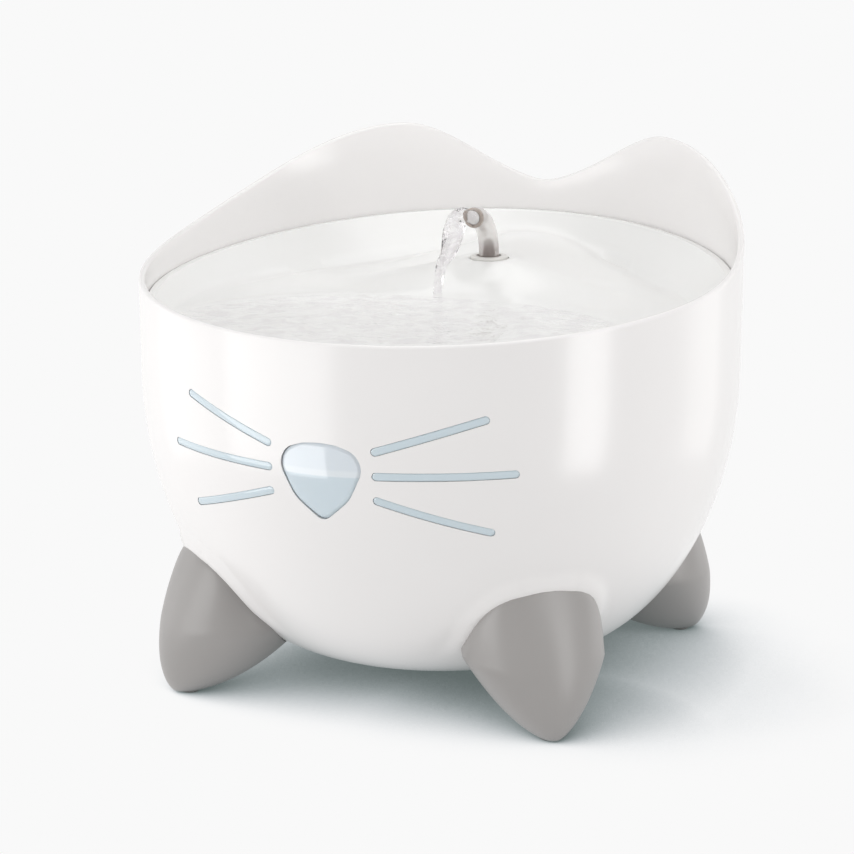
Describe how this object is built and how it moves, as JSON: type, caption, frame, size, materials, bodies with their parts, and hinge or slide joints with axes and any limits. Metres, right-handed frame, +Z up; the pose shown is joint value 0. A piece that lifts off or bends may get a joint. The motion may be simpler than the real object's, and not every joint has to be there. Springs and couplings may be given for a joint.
{
  "type": "pet water fountain",
  "caption": "Round drinking fountain with a cat face and ear rim on four ear-shaped feet, lift-off tray, bent spout, filter, pump and dry bay inside",
  "frame": {"origin": "on the table under the bowl's axis, at the middle of the bounding box's underside", "axes": "+Z up, -Y towards the face, +X to the face's left as seen by the object (right as seen from the front)"},
  "size_m": [0.2404, 0.2405, 0.2046],
  "materials": {
    "bowl_white": "gloss",
    "tray_white": "gloss",
    "foot_grey": "satin",
    "window_blue": "gloss, translucent",
    "clear_plastic": "gloss, clear",
    "clear_soft": "soft, translucent",
    "collar_grey": "gloss",
    "inner_white": "matte",
    "dark_rubber": "matte",
    "grey_rubber": "matte",
    "filter_fabric": "felt",
    "foam_black": "open foam",
    "pump_black": "matte",
    "ceramic": "polished ceramic",
    "magnet_black": "satin",
    "lead_grey": "matte",
    "board_green": "solder mask",
    "led_white": "clear",
    "screw_steel": "zinc plated"
  },
  "bodies": {
    "bowl": {"body_shell": "bowl_white", "foot_front_left": "foot_grey", "foot_front_right": "foot_grey", "foot_rear_left": "foot_grey", "foot_rear_right": "foot_grey", "foot_pads": "grey_rubber", "nose_window": "window_blue", "whisker_windows_left": "window_blue", "whisker_windows_right": "window_blue", "light_guide": "clear_plastic", "light_board": "board_green", "leds": "led_white", "light_housing": "inner_white", "filter_housing": "inner_white", "pump_housing": "pump_black", "pump_cover": "pump_black", "pump_foam": "foam_black", "pump_shaft": "ceramic", "suction_cups": "dark_rubber", "pump_lead": "lead_grey", "pump_gland": "dark_rubber", "control_board": "board_green", "base_seal": "dark_rubber", "base_cover": "inner_white", "base_screws": "screw_steel", "cable_gland": "dark_rubber"},
    "tray": {"drinking_tray": "tray_white", "spout_collar": "collar_grey", "riser_tube": "clear_soft"},
    "spout": {"spout": "clear_plastic"},
    "cover": {"filter_cover": "inner_white"},
    "cartridge": {"filter_frame": "inner_white", "filter_pad": "filter_fabric"},
    "rotor": {"impeller": "inner_white", "impeller_magnet": "magnet_black"},
    "dial": {"flow_dial": "pump_black"}
  },
  "joints": [
    {"name": "tray_lift", "type": "slide", "parent": "bowl", "child": "tray", "axis": [0, 0, 1], "range_m": [0, 0.15]},
    {"name": "spout_swivel", "type": "hinge", "parent": "tray", "child": "spout", "pos_m": [0, 0.053, 0.16], "axis": [0, 0, 1], "range_deg": [-30, 30]},
    {"name": "cover_lift", "type": "slide", "parent": "bowl", "child": "cover", "axis": [0, 0, 1], "range_m": [0, 0.105]},
    {"name": "filter_lift", "type": "slide", "parent": "bowl", "child": "cartridge", "axis": [0, 0, 1], "range_m": [0, 0.0675]},
    {"name": "impeller_spin", "type": "hinge", "parent": "bowl", "child": "rotor", "pos_m": [0, 0.0505, 0.0467], "axis": [0, 1, 0], "continuous": true},
    {"name": "flow_dial_turn", "type": "hinge", "parent": "bowl", "child": "dial", "pos_m": [0, 0.043, 0.0559], "axis": [0, 1, 0], "range_deg": [0, 90]}
  ],
  "couplings": [
    {"joint": "cover_lift", "follows": "tray_lift", "ratio": 0.7},
    {"joint": "filter_lift", "follows": "tray_lift", "ratio": 0.45}
  ]
}
